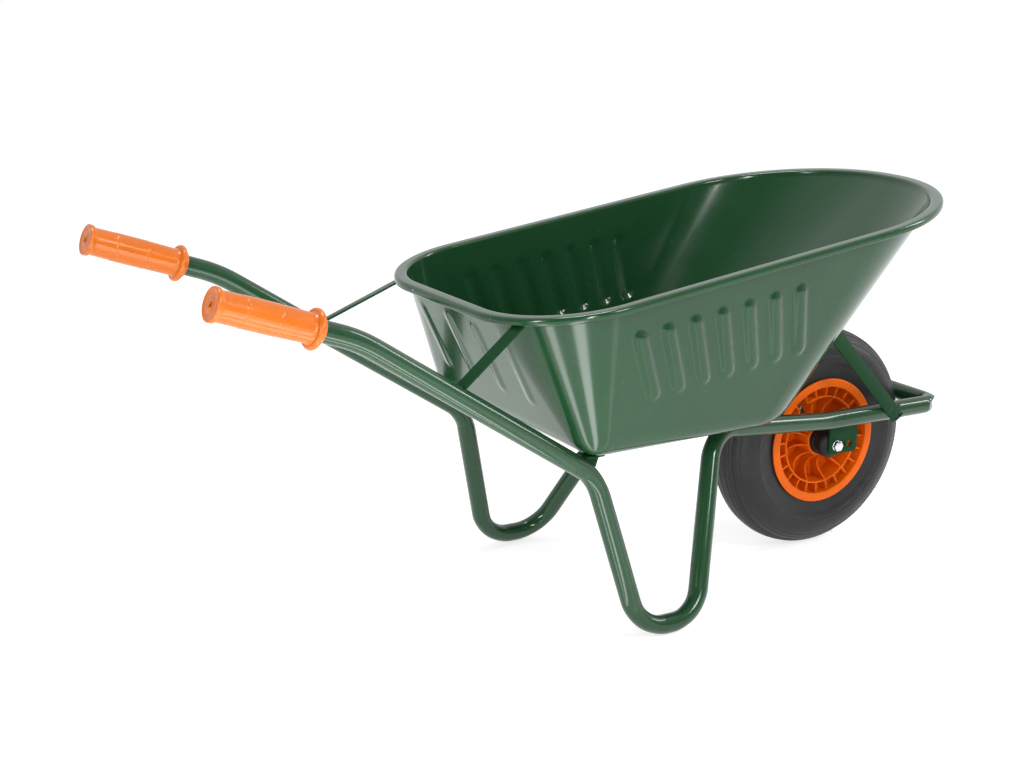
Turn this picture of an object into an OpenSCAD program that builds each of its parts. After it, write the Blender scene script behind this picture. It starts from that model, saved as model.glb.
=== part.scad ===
// Single-wheel garden wheelbarrow: bent tube frame, pressed steel tray,
// pneumatic wheel on a bolted axle, moulded hand grips.
// +X points forward (wheel end), +Y left, +Z up, floor at Z = 0.

/* [Wheel] */
// Outside diameter of the tyre
tyre_od = 400; // [340:1:480]
// Width of the tyre
tyre_w = 93; // [80:1:110]
// Outside diameter of the rim flange
rim_od = 228; // [210:1:240]
// Thickness of the tyre wall
tyre_wall = 7; // [4:0.5:9]
// Number of long ribs on each face of the rim
rib_count = 12; // [8:1:16]
// Direction of the first rib, degrees above the forward direction
rib_phase = 12; // [0:1:29]
// Outside diameter of the hub bush
bush_od = 52; // [44:1:58]
// Outside diameter of the axle sleeve
sleeve_od = 16; // [14:0.5:20]
// Diameter of the axle bolt
bolt_d = 10; // [8:0.5:12]
// Width across flats of bolt head and nut
bolt_af = 17; // [15:0.5:19]

/* [Frame] */
// Outside diameter of the frame tube
tube_od = 32; // [26:0.5:38]
// Wall thickness of the frame tube
tube_wall = 1.5; // [1:0.1:3]
// Height of the front rails above the axle
rail_rise = 53; // [44:0.5:70]
// Distance from the middle to each front rail at the wheel
rail_half = 90.5; // [84:0.5:105]
// Gap between the tyre and the centre of the front cross run
nose_gap = 17.5; // [17:0.5:40]
// Length of the level rail behind the axle
rail_back = 35; // [20:1:60]
// Rise of each rail from the wheel to the front leg top
rail_climb = 32; // [10:1:50]
// Distance from the middle to each foot
foot_half = 240; // [200:1:300]
// Length of the level run at each foot, corner to corner
foot_len = 111.5; // [104:0.5:160]
// Setback of the front leg top behind the front edge of the tray floor
front_leg_back = 107.5; // [90:1:130]
// Distance from the middle to each front leg top
front_leg_half = 122.5; // [105:0.5:150]
// Setback of the front foot corner behind the front leg top
foot_back = 109.5; // [90:1:130]
// Setback of the rear leg top behind the rear foot corner
rear_leg_back = 69; // [50:1:90]
// Drop of the rear leg top below the tray floor
rear_leg_drop = 31.5; // [30:0.5:50]
// Distance of the rear leg top inside the tray floor edge
rear_leg_inset = 39; // [20:1:60]
// Length of the inclined handle run, measured level
handle_run = 427; // [360:1:500]
// Rise of the inclined handle run
handle_rise = 273; // [200:1:330]
// Length of the hand run, measured level
grip_run = 212; // [190:1:260]
// Rise of the hand run
grip_rise = 71.5; // [20:0.5:110]
// Distance from the middle to each handle elbow
elbow_half = 250; // [220:1:290]
// Distance from the middle to each handle end
grip_half = 253.5; // [220:0.5:300]

/* [Grips] */
// Diameter of the grip body
grip_od = 43; // [38:0.5:48]
// Length from the handle end to the middle of the hand guard
grip_len = 154; // [120:1:175]
// Diameter of the hand guard ring
guard_od = 59; // [50:0.5:66]
// Diameter of the end disc
end_od = 49; // [44:0.5:54]

/* [Tray] */
// Thickness of the pressed sheet
sheet = 1.2; // [0.8:0.1:2]
// Overall length of the rim
rim_len = 935; // [840:1:1050]
// Overall width of the rim
rim_w = 555; // [500:1:640]
// Height of the rim above the floor of the tray, at the tray floor's front edge
rim_height = 306; // [270:1:350]
// Rise of the rim towards the front, per millimetre of length
rim_slope = 0.143; // [0.05:0.005:0.2]
// Corner radius of the rim at the rear
rim_rear_r = 170; // [120:1:220]
// Radius of the rim at the front
rim_front_r = 270; // [200:1:272]
// Width of the rim flange
flange = 22; // [16:0.5:28]
// Depth of the turned-down rim lip
lip = 11; // [8:0.5:16]
// Length of the tray floor
floor_len = 431; // [380:1:480]
// Half width of the tray floor at the rear
floor_rear_half = 242; // [200:1:262]
// Half width of the tray floor at the front
floor_front_half = 221; // [180:1:250]
// Rise of the tray floor towards the rear, per millimetre of length
floor_slope = 0.012; // [0:0.002:0.02]
// Rear corner radius of the tray floor
floor_rear_r = 32; // [20:1:60]
// Front corner radius of the tray floor
floor_front_r = 102; // [60:1:160]
// Run of the rounding between floor and walls
floor_round = 35; // [20:1:50]
// Gap between the tyre and the front edge of the tray floor, measured level
floor_gap = 5; // [5:1:40]
// Distance the front of the rim overhangs the tray floor
front_rake = 374; // [330:1:420]

/* [Plates and braces] */
// Thickness of each axle plate
plate_t = 4; // [3:0.5:5]
// Length of each axle plate
plate_len = 64; // [60:1:80]
// Spacing of the axle holes
hole_pitch = 15; // [14:0.5:18]
// Distance from the axle to the lower edge of the plate
plate_drop = 16; // [12:1:22]
// Width of the rear braces
rear_brace_w = 20; // [14:1:28]
// Width of the front braces
front_brace_w = 25; // [16:1:30]
// Thickness of the braces
brace_t = 3; // [2:0.5:4]
// Thickness of the saddle plates
saddle_t = 3; // [2:0.5:5]

/* [Hidden] */
$fn = 64;

// clearances
run_gap = 0.05;   // sleeve in bush, radial
soft_gap = 0.3;   // between the tyre, the tube and the rim
hole_gap = 0.25;  // bolt in its holes, radial
side_play = 1;    // bush to axle plate, each side

green = [0.09, 0.25, 0.15];
orange = [0.95, 0.45, 0.08];
black = [0.06, 0.06, 0.06];
zinc = [0.75, 0.75, 0.77];

// wheel
tyre_r = tyre_od / 2;
axle_z = tyre_r;
half_w = tyre_w / 2;
rim_r = rim_od / 2;
flange_r = rim_r - 15.5;       // inner edge of the flange face
seat_r = rim_r - 10.8;         // bead seat
skin = 5;                      // thickness of the rim channel
drop_r = seat_r - 10;          // drop centre
ring_r = drop_r - skin - 6.7;    // outside of the inner ring
ring_t = 3;
hub_r = bush_od / 2 + 4;
spigot_r = bush_od / 2 - 6;
hub_half = 38;
face_y = half_w - 2.5;
bulge_r = half_w;              // section radius of the tyre
bulge_c = tyre_r - bulge_r;    // its centre circle
valve_a = rib_phase + 112.5;
valve_y = -26;

// frame
tube_r = tube_od / 2;
rail_z = axle_z + rail_rise;
leg_z = rail_z + rail_climb;
seat_t = 2.5;
tray_z = leg_z + tube_r + seat_t;
nose_x = tyre_r + nose_gap;
tray_front = -(tyre_r + floor_gap);
front_leg_x = tray_front - front_leg_back;
foot_front_x = front_leg_x - foot_back;
foot_rear_x = foot_front_x - foot_len;
rear_leg_x = foot_rear_x - rear_leg_back;
rear_leg_half = floor_rear_half - rear_leg_inset;
rear_leg_z = tray_z - rear_leg_drop;
elbow_x = rear_leg_x - handle_run;
elbow_z = rear_leg_z + handle_rise;
end_x = elbow_x - grip_run;
end_z = elbow_z + grip_rise;

handle_end = [end_x, grip_half, end_z];
elbow = [elbow_x, elbow_half, elbow_z];
rear_top = [rear_leg_x, rear_leg_half, rear_leg_z];
foot_rear = [foot_rear_x, foot_half, tube_r];
foot_front = [foot_front_x, foot_half, tube_r];
front_top = [front_leg_x, front_leg_half, leg_z];
kink = [-rail_back, rail_half, rail_z];
corner = [nose_x, rail_half, rail_z];
centre = [nose_x, 0, rail_z];

function unit(v) = v / norm(v);
function turn(a, b, c) = acos(unit(a - b) * unit(c - b));
function toward(a, b, d) = a + unit(b - a) * d;

grip_axis = unit(elbow - handle_end);
grip_wall_end = 6;
tube_start = handle_end + grip_axis * grip_wall_end;

// every run of one side: corner point and bend radius
half_path = [
  [tube_start, 0], [elbow, 250], [rear_top, 90],
  [foot_rear, 68], [foot_front, 70], [front_top, 70],
  [kink, 300], [corner, 26], [centre, 0]
];

// model shift: the origin is under the middle of the overall box
end_edge = 1.5;  // chamfer of the grip's end disc
rear_reach = -end_x + (end_od / 2 - end_edge) * sqrt(1 - grip_axis.x * grip_axis.x);
shift = (rear_reach - nose_x - tube_r) / 2;

// tray
rim_x1 = tray_front + front_rake;
rim_x0 = rim_x1 - rim_len;
floor_x1 = tray_front;
floor_x0 = tray_front - floor_len;
function rim_z(x) = tray_z + rim_height + rim_slope * (x - tray_front);
function floor_z(x) = tray_z + floor_slope * (tray_front - x);

// side helpers
module placed() { translate([shift, 0, 0]) children(); }
module left_side() { placed() children(); }
module right_side() { placed() mirror([0, 1, 0]) children(); }

// puts the child's +Z along w and its +X as near u as it can be, at p
module frame_at(p, w, u) {
  z = unit(w);
  y = unit(cross(z, u));
  x = cross(y, z);
  multmatrix([
    [x.x, y.x, z.x, p.x],
    [x.y, y.y, z.y, p.y],
    [x.z, y.z, z.z, p.z],
    [0, 0, 0, 1]
  ]) children();
}

// turns the child's Z axis onto the axle line, +Z to the left
module on_axle() { translate([0, 0, axle_z]) rotate([-90, 0, 0]) children(); }

// ---- bent tube ----
function setback(p, i) =
  p[i][1] == 0 ? 0 : p[i][1] / tan(turn(p[i - 1][0], p[i][0], p[i + 1][0]) / 2);

// the tube itself is one swept skin: [point, direction] at every ring of one side
tube_sides = 16;
bend_step = 10;
function arc_marks(p, i) = let(
  s = toward(p[i][0], p[i - 1][0], setback(p, i)),
  e = toward(p[i][0], p[i + 1][0], setback(p, i)),
  ang = turn(p[i - 1][0], p[i][0], p[i + 1][0]),
  inward = unit(unit(s - p[i][0]) + unit(e - p[i][0])),
  c = p[i][0] + inward * (p[i][1] / sin(ang / 2)),
  n = unit(cross(p[i][0] - p[i - 1][0], p[i + 1][0] - p[i][0])),
  x = s - c,
  y = cross(n, x),
  steps = ceil((180 - ang) / bend_step)
) [for (k = [0 : steps]) let(a = (180 - ang) * k / steps)
  [c + x * cos(a) + y * sin(a), unit(y * cos(a) - x * sin(a))]];
function side_marks(p) = concat(
  [[p[0][0], unit(p[1][0] - p[0][0])]],
  [for (i = [1 : len(p) - 2]) each arc_marks(p, i)],
  [[p[len(p) - 1][0], unit(p[len(p) - 1][0] - p[len(p) - 2][0])]]
);
function square_to(v, d) = unit(v - d * (v * d));
function side_rings(p, r) = let(m = side_marks(p), last = len(m) - 1) [
  for (i = 0, u = square_to([0, 0, 1], m[0][1]); i <= last;
    i = i + 1, u = square_to(u, m[min(i, last)][1]))
  [for (k = [0 : tube_sides - 1]) let(a = 360 * k / tube_sides)
    m[i][0] + r * (u * cos(a) + cross(m[i][1], u) * sin(a))]
];
function whole_rings(p, r) = let(h = side_rings(p, r)) concat(
  h, [for (i = [len(h) - 2 : -1 : 0]) [for (q = h[i]) [q.x, -q.y, q.z]]]
);
// closed skin over a loop of rings, each ring joined to the next and the last to the first
module looped_skin(rings) {
  n = len(rings[0]);
  m = len(rings);
  polyhedron(
    points = [for (r = rings) each r],
    faces = [for (j = [0 : m - 1]) for (i = [0 : n - 1])
      let(i2 = (i + 1) % n, j2 = (j + 1) % m)
      each [[j * n + i, j2 * n + i, j * n + i2], [j * n + i2, j2 * n + i, j2 * n + i2]]],
    convexity = 10
  );
}

module frame_tube() {
  outer = whole_rings(half_path, tube_r);
  bore = whole_rings(half_path, tube_r - tube_wall);
  color(green) placed()
    looped_skin(concat(outer, [for (k = [len(bore) - 1 : -1 : 0]) bore[k]]));
}

// ---- grips ----
module grip() {
  frame_at(handle_end, grip_axis, [0, 0, 1]) difference() {
    union() {
      rotate_extrude() polygon([
        [0, 0], [end_od / 2 - end_edge, 0], [end_od / 2, end_edge], [end_od / 2, 8 - end_edge],
        [end_od / 2 - end_edge, 8], [grip_od / 2, 9.5], [grip_od / 2 + 0.8, grip_len * 0.45],
        [grip_od / 2, grip_len - 6], [grip_od / 2, grip_len + 7], [grip_od / 2 - 1, grip_len + 10],
        [0, grip_len + 10]
      ]);
      translate([0, 0, grip_len]) rotate_extrude()
        translate([guard_od / 2 - 5, 0]) circle(r = 5);
      translate([0, 0, grip_len - 4]) cylinder(h = 8, r = guard_od / 2 - 4);
    }
    translate([0, 0, grip_wall_end]) cylinder(h = grip_len + 10, r = tube_r);
    translate([0, 0, -1]) cylinder(h = grip_wall_end + 2, r = 4);
  }
}
module grip_left() { color(orange) left_side() grip(); }
module grip_right() { color(orange) right_side() grip(); }

// ---- tray ----
// half outline from the rear middle to the front middle, as corner steps
rear_steps = 3;
corner_steps = 8;
side_steps = 4;
front_steps = 16;

function half_outline(x0, x1, h0, h1, rb, rf) = concat(
  [for (k = [0 : rear_steps - 1]) [x0, (h0 - rb) * k / rear_steps]],
  [for (k = [0 : corner_steps]) let(a = 90 * k / corner_steps)
    [x0 + rb - rb * cos(a), h0 - rb + rb * sin(a)]],
  [for (k = [1 : side_steps - 1]) let(s = k / side_steps)
    [x0 + rb + (x1 - rf - x0 - rb) * s, h0 + (h1 - h0) * s]],
  [for (k = [0 : front_steps]) let(a = 90 * k / front_steps)
    [x1 - rf + rf * sin(a), h1 - rf + rf * cos(a)]],
  [[x1, 0]]
);
function whole(h) = concat(
  h, [for (k = [len(h) - 2 : -1 : 1]) [h[k].x, -h[k].y]]
);
// rim outline drawn in by d from its outer edge
function rim_ring(d) = whole(half_outline(
  rim_x0 + d, rim_x1 - d, rim_w / 2 - d, rim_w / 2 - d,
  max(rim_rear_r - d, 2), max(rim_front_r - d, 2)));
// floor outline drawn in by d
function floor_ring(d) = whole(half_outline(
  floor_x0 + d, floor_x1 - d, floor_rear_half - d, floor_front_half - d,
  max(floor_rear_r - d, 3), max(floor_front_r - d, 3)));
function lift_rim(ring, dz) = [for (q = ring) [q.x, q.y, rim_z(q.x) + dz]];
function lift_floor(ring, dz) = [for (q = ring) [q.x, q.y, floor_z(q.x) + dz]];
function bezier(a, b, c, s) = a * (1 - s) * (1 - s) + b * 2 * s * (1 - s) + c * s * s;

// one skin of the tray, floor edge to wall top; d is its depth inside the outer skin
round_steps = 4;
function skin_rings(d) = let(
  base = lift_floor(floor_ring(d), d),
  inner = lift_floor(floor_ring(d + floor_round), d),
  top = lift_rim(rim_ring(flange + d - sheet), -5)
) concat(
  [for (k = [0 : round_steps]) [for (i = [0 : len(base) - 1])
    bezier(inner[i], base[i], toward(base[i], top[i], floor_round), k / round_steps)]],
  [top]
);
rim_section = [
  // [distance in from the rim's outer edge, height below the rim plane]
  [flange - sheet - 1, 2.6], [flange - sheet - 4, sheet + 0.2], [6, sheet + 0.5],
  [3, sheet + 1.6], [sheet, 5.5], [sheet, lip], [0, lip], [0, 5], [1.6, 1.8],
  [5, 0.4], [flange - 5, 0], [flange - 1.4, 1.4]
];
module tray() {
  outer = skin_rings(0);
  edge = [for (s = rim_section) lift_rim(rim_ring(s[0]), -s[1])];
  inner_up = skin_rings(sheet);
  inner = [for (k = [len(inner_up) - 1 : -1 : 0]) inner_up[k]];
  rings = concat(outer, edge, inner);
  n = len(rings[0]);
  m = len(rings);
  mid_x = (floor_x0 + floor_x1) / 2;
  pts = concat([for (r = rings) each r],
    [[mid_x, 0, floor_z(mid_x)], [mid_x, 0, floor_z(mid_x) + sheet]]);
  sides = [for (j = [0 : m - 2]) for (i = [0 : n - 1]) let(i2 = (i + 1) % n)
    each [[j * n + i, j * n + i2, (j + 1) * n + i],
      [j * n + i2, (j + 1) * n + i2, (j + 1) * n + i]]];
  under = [for (i = [0 : n - 1]) [(i + 1) % n, i, n * m]];
  inside = [for (i = [0 : n - 1]) [(m - 1) * n + i, (m - 1) * n + (i + 1) % n, n * m + 1]];
  color(green) placed()
    polyhedron(points = pts, faces = concat(sides, under, inside), convexity = 6);
}

// ---- braces ----
// flat strip from a to b, its width along u
module strip(a, b, w, t, u) {
  frame_at(a, b - a, u) translate([-w / 2, -t / 2, 0]) cube([w, t, norm(b - a)]);
}

// point of the handle run at a level distance behind the rear leg top
function on_handle(d) = rear_top + (elbow - rear_top) * (d / handle_run);
handle_dir = unit(elbow - rear_top);
handle_up = unit(cross(cross(handle_dir, [0, 0, 1]), handle_dir));
rear_brace_low = on_handle(262) + handle_up * (tube_r - 0.8);
rear_brace_turn = 30;  // where it meets the rim, round the rear corner
rear_brace_spot = [
  rim_x0 + rim_rear_r - (rim_rear_r - flange / 2) * cos(rear_brace_turn),
  rim_w / 2 - rim_rear_r + (rim_rear_r - flange / 2) * sin(rear_brace_turn)
];
module rear_brace() {
  low = rear_brace_low;
  plane = rim_z(rear_brace_spot.x);
  high = [rear_brace_spot.x, rear_brace_spot.y, plane - lip - brace_t];
  side = unit(cross(high - low, [0, 0, 1]));
  strip(low, high, rear_brace_w, brace_t, side);
  // lug bent upright to the underside of the rim flange
  lug_top = [high.x, high.y, plane - sheet - 0.2];
  strip(high - [0, 0, brace_t * 0.6], lug_top, rear_brace_w, brace_t, side);
}
module rear_brace_left() { color(green) left_side() rear_brace(); }
module rear_brace_right() { color(green) right_side() rear_brace(); }

// front braces stand flat against the outside of the rails
brace_foot_x = 112;
front_brace_low = [brace_foot_x, rail_half + tube_r + brace_t / 2 - 0.5, rail_z - 6];
wall_share = 0.39;  // how far up the tray's front wall they end
wall_step = rear_steps + corner_steps + side_steps + 14;
function wall_point(i) = let(
  f = floor_ring(0), r = rim_ring(flange - sheet),
  b = [f[i].x, f[i].y, floor_z(f[i].x)], t = [r[i].x, r[i].y, rim_z(r[i].x) - 5]
) b + (t - b) * wall_share;
front_wall = wall_point(wall_step);
wall_up = unit([
  rim_ring(flange - sheet)[wall_step].x - front_wall.x,
  rim_ring(flange - sheet)[wall_step].y - front_wall.y,
  rim_z(rim_ring(flange - sheet)[wall_step].x) - 5 - front_wall.z
]);
wall_out = unit(cross(wall_up, wall_point(wall_step - 1) - wall_point(wall_step + 1)));
module front_brace() {
  low = front_brace_low;
  high = front_wall + wall_out * brace_t;
  run = high - low;
  // width direction: square to the strip, in the upright plane
  side = unit(cross(run, [0, 1, 0]));
  strip(toward(low, high, -2), high, front_brace_w, brace_t, side);
  // tab bent flat against the front wall
  across = unit(cross(wall_out, side));
  frame_at(high - wall_out * (brace_t + 0.3), wall_out, side)
    translate([-front_brace_w / 2, across.y > 0 ? -26 : -brace_t / 2, 0])
      cube([front_brace_w, 26 + brace_t / 2, brace_t]);
}
module front_brace_left() { color(green) left_side() front_brace(); }
module front_brace_right() { color(green) right_side() front_brace(); }

// ---- axle plates ----
plate_in = half_w + 29.5;     // inner face of each plate
module axle_plate() {
  top = rail_rise - 10;
  r = 8;
  translate([0, plate_in + plate_t, axle_z]) rotate([90, 0, 0])
    difference() {
      union() {
        translate([-plate_drop, -plate_drop + r]) cube([plate_len, top + plate_drop - r, plate_t]);
        translate([-plate_drop + r, -plate_drop]) cube([plate_len - 2 * r, r + 1, plate_t]);
        for (x = [-plate_drop + r, plate_len - plate_drop - r])
          translate([x, -plate_drop + r, 0]) cylinder(h = plate_t, r = r);
      }
      for (k = [0 : 2]) translate([k * hole_pitch, 0, -1])
        cylinder(h = plate_t + 2, r = bolt_d / 2 + hole_gap);
    }
}
module axle_plate_left() { color(green) left_side() axle_plate(); }
module axle_plate_right() { color(green) right_side() axle_plate(); }

// ---- saddles between tray floor and tube ----
bite = 1;  // how deep a welded edge stands in the tube
// points on the outer side of bend i of one side, from its first end to its last
function bend_skin(i) = let(
  m = arc_marks(half_path, i),
  r = half_path[i][1],
  a = m[0][0],
  b = m[len(m) - 1][0],
  mid = (a + b) / 2,
  out = unit(half_path[i][0] - mid),
  c = half_path[i][0] - out * (r / sin(turn(a, half_path[i][0], b) / 2))
) [for (q = m) c + unit(q[0] - c) * (r + tube_r - bite)];
// a level seat under the floor and an upright web that follows the bend
module saddle(i, first, last, reach, seat_w) {
  skin_pts = bend_skin(i);
  low = [for (k = [first : last]) skin_pts[k]];
  x0 = low[0].x;
  x1 = low[len(low) - 1].x + reach;
  y = (low[0].y + low[len(low) - 1].y) / 2;
  top = floor_z(x0);
  translate([x0, y, top]) rotate([0, atan(floor_slope), 0]) union() {
    translate([0, -seat_w / 2, -seat_t]) cube([x1 - x0, seat_w, seat_t]);
    translate([0, saddle_t / 2, 0]) rotate([90, 0, 0]) linear_extrude(saddle_t)
      polygon(concat([for (q = low) [q.x - x0, q.z - top]], [[x1 - x0, -1], [0, -1]]));
  }
}
module rear_saddle() { saddle(2, 0, 2, 8, 30); }
module front_saddle() { saddle(5, 4, 8, 4, 30); }
module rear_saddle_left() { color(green) left_side() rear_saddle(); }
module rear_saddle_right() { color(green) right_side() rear_saddle(); }
module front_saddle_left() { color(green) left_side() front_saddle(); }
module front_saddle_right() { color(green) right_side() front_saddle(); }

// ---- axle hardware ----
plate_out = plate_in + plate_t;
washer_t = 2;
washer_r = bolt_af / 2 + 1.4;
head_h = 6.5;
nut_h = 9;
module hexagon(af, h) { cylinder(h = h, d = af / cos(30), $fn = 6); }
module axle_bolt() {
  color(zinc) placed() on_axle() union() {
    translate([0, 0, -plate_out - washer_t - head_h]) hexagon(bolt_af, head_h);
    translate([0, 0, -plate_out - washer_t])
      cylinder(h = 2 * (plate_out + washer_t) + nut_h + 3, r = bolt_d / 2);
  }
}
module axle_washers() {
  color(zinc) placed() on_axle()
    for (z = [-plate_out - washer_t, plate_out]) translate([0, 0, z]) difference() {
      cylinder(h = washer_t, r = washer_r);
      translate([0, 0, -1]) cylinder(h = washer_t + 2, r = bolt_d / 2 + hole_gap);
    }
}
module axle_nut() {
  color(zinc) placed() on_axle() translate([0, 0, plate_out + washer_t]) difference() {
    hexagon(bolt_af, nut_h);
    translate([0, 0, -1]) cylinder(h = nut_h + 2, r = bolt_d / 2);
  }
}
module axle_sleeve() {
  color(zinc) placed() on_axle() difference() {
    translate([0, 0, -plate_in]) cylinder(h = 2 * plate_in, r = sleeve_od / 2);
    translate([0, 0, -plate_in - 1]) cylinder(h = 2 * plate_in + 2, r = bolt_d / 2 + hole_gap);
  }
}

// ---- wheel ----
// [radius, distance from the middle plane] pairs, mirrored about the middle plane
function both(p) = concat(p, [for (k = [len(p) - 1 : -1 : 0]) [p[k][0], -p[k][1]]]);
rim_skin = [
  [drop_r - skin, 17], [flange_r, 26], [flange_r, half_w], [rim_r, half_w],
  [rim_r, half_w - 4], [seat_r + 5, half_w - 5], [seat_r, half_w - 6],
  [seat_r, 24], [drop_r, 15]
];
module rib(r0, r1, h0, hm, h1, t) {
  rotate([90, 0, 0]) translate([0, 0, -t / 2]) linear_extrude(t) polygon([
    [r0, 0], [r1, 0], [r1, h1], [r1 - 16, h1], [(r0 + r1) / 2, hm], [r0 + 4, h0], [r0, h0]
  ]);
}
module rim() {
  color(orange) placed() on_axle() difference() {
    union() {
      rotate_extrude() polygon(both(rim_skin));
      rotate_extrude() translate([ring_r - ring_t, -face_y + 4]) square([ring_t, 2 * face_y - 8]);
      rotate_extrude() translate([hub_r - 2, -2.5]) square([drop_r - skin - hub_r + 3, 5]);
      rotate_extrude() translate([spigot_r, -hub_half]) square([hub_r - spigot_r, 2 * hub_half]);
      for (k = [0 : rib_count - 1], m = [0, 1]) mirror([0, 0, m])
        rotate([0, 0, -rib_phase - 360 / rib_count * k])
          rib(hub_r - 1, flange_r + 1, hub_half - 1, 22, face_y - 4, 3);
      for (k = [0 : rib_count - 1], m = [0, 1]) mirror([0, 0, m])
        rotate([0, 0, -rib_phase - 360 / rib_count * (k + 0.5)])
          translate([ring_r - 1, -1.5, 0]) cube([flange_r - ring_r + 2, 3, face_y - 4]);
    }
    rotate([0, 0, -valve_a]) translate([ring_r - 30, 0, valve_y])
      rotate([0, 90, 0]) cylinder(h = 60, r = 5);
    // finger gap in the inner ring beside the valve
    rotate([0, 0, -valve_a]) translate([ring_r - 8, -11, -half_w]) cube([14, 22, half_w - 18]);
  }
}
module hub_bush() {
  on_axle() difference() {
    union() {
      translate([0, 0, hub_half]) cylinder(h = plate_in - side_play - hub_half, r = bush_od / 2);
      translate([0, 0, 8]) cylinder(h = hub_half - 7, r = spigot_r);
    }
    cylinder(h = plate_in + 2, r = sleeve_od / 2 + run_gap);
  }
}
module hub_bush_left() { color(black) left_side() hub_bush(); }
module hub_bush_right() { color(black) right_side() hub_bush(); }

bead_out = half_w - 6 - soft_gap;
bead_in = bead_out - 9.2;      // clear of the valve stem
// half section of the tyre from the bead up over the crown, on radius r
function wall_arc(r, a0) = [for (a = [a0 : -5 : 0]) [bulge_c + r * cos(a), r * sin(a)]];
module tyre() {
  outside = concat([[seat_r + soft_gap, bead_in], [seat_r + soft_gap, bead_out], [seat_r + 8, bead_out]],
    wall_arc(bulge_r, 110));
  inside = concat([[seat_r + 9, bead_in], [seat_r + 13, bead_out - tyre_wall - 2]],
    wall_arc(bulge_r - tyre_wall, 105));
  function under(p) = [for (k = [len(p) - 2 : -1 : 0]) [p[k][0], -p[k][1]]];
  inside_loop = concat(inside, under(inside));
  color(black) placed() on_axle() rotate_extrude() difference() {
    polygon(concat(outside, under(outside), [for (k = [len(inside_loop) - 1 : -1 : 0]) inside_loop[k]]));
    for (y = [-26, -13, 0, 13, 26])
      translate([bulge_c + sqrt(bulge_r * bulge_r - y * y), y]) circle(r = 1.6);
  }
}
tube_minor = bulge_r - tyre_wall - soft_gap;
module inner_tube() {
  color(black) placed() on_axle() difference() {
    rotate_extrude() difference() {
      translate([bulge_c, 0]) circle(r = tube_minor);
      translate([bulge_c, 0]) circle(r = tube_minor - 3);
    }
    rotate([0, 0, -valve_a]) translate([0, 0, valve_y])
      rotate([0, 90, 0]) cylinder(h = bulge_c, r = 4.2);
  }
}
stem_low = ring_r - 11.3;
stem_high = bulge_c - sqrt(tube_minor * tube_minor - valve_y * valve_y) + 5;
module on_valve(r) {
  on_axle() rotate([0, 0, -valve_a]) translate([r, 0, valve_y]) rotate([0, 90, 0]) children();
}
module valve_stem() {
  color(black) placed() on_valve(stem_low) difference() {
    cylinder(h = stem_high - stem_low, r = 4.1);
    translate([0, 0, -1]) cylinder(h = stem_high - stem_low + 2, r = 1.4);
  }
}
module valve_cap() {
  color(black) placed() on_valve(stem_low - 8) difference() {
    cylinder(h = 14, r = 4.8);
    translate([0, 0, 8]) cylinder(h = 10, r = 4.1);
  }
}

frame_tube();
grip_left();
grip_right();
tray();
rear_brace_left();
rear_brace_right();
front_brace_left();
front_brace_right();
axle_plate_left();
axle_plate_right();
rear_saddle_left();
rear_saddle_right();
front_saddle_left();
front_saddle_right();
axle_bolt();
axle_washers();
axle_nut();
axle_sleeve();
rim();
hub_bush_left();
hub_bush_right();
tyre();
inner_tube();
valve_stem();
valve_cap();
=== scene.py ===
from math import ceil, cos, pi, radians, sin, sqrt, tan

import bmesh
import bpy
from bpy.props import FloatProperty, FloatVectorProperty, IntProperty, PointerProperty
from mathutils import Matrix, Vector


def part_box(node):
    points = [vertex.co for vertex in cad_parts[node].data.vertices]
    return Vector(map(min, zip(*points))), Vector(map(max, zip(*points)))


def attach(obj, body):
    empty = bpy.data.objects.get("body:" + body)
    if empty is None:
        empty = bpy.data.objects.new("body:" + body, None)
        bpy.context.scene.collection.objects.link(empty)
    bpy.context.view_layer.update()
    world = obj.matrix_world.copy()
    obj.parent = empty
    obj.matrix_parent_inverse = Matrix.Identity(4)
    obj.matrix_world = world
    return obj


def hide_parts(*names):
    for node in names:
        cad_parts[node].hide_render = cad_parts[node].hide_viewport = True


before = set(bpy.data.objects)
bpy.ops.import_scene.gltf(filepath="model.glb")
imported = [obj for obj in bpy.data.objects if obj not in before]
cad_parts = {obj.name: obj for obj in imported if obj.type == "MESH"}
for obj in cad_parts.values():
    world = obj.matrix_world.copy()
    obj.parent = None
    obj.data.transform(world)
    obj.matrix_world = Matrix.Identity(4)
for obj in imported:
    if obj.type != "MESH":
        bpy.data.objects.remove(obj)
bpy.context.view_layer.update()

bl_info = {
    "name": "Garden Wheelbarrow",
    "version": (1, 0, 0),
    "blender": (4, 5, 0),
    "location": "3D View > Sidebar > Barrow",
    "description": "Finishes a garden wheelbarrow around its fixed frame: tube, tray, wheel, grips and welds",
    "category": "Add Mesh",
}

AXLE = sum(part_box("axle_sleeve"), Vector()) / 2
LEFT, RIGHT = 1, -1
SIDES = (("left", LEFT), ("right", RIGHT))
# places of the frame tube's middle line on the left, mm
GRIP_END, GRIP_ELBOW = (-1241.5, 253.5, 616.5), (-1029.5, 250, 545)
RAIL_HALF, RAIL_UP, NOSE_X = 90.5, 253, 217.5
VALVE_TURN = radians(112.5)        # from the first rib


# ---- places and shapes ----

def spot(x, y, z):
    """A place in metres from millimetres: x ahead of the axle, y left of the middle, z above the floor."""
    return Vector((AXLE.x + x / 1000, y / 1000, z / 1000))


def on_side(place, side):
    """The place given for the left side, on the side asked for."""
    return spot(place[0], side * place[1], place[2])


def near(a, b, distance):
    """The place at the distance from a towards b."""
    return a + (b - a).normalized() * distance


def bend_curve(a, b, c, s):
    return a * (1 - s) ** 2 + b * 2 * s * (1 - s) + c * s * s


def bump(distance, width):
    """A rounded swell that is 1 at its middle and falls to 0 at its width."""
    t = min(abs(distance) / width, 1)
    return (1 - t * t) ** 2


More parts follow.
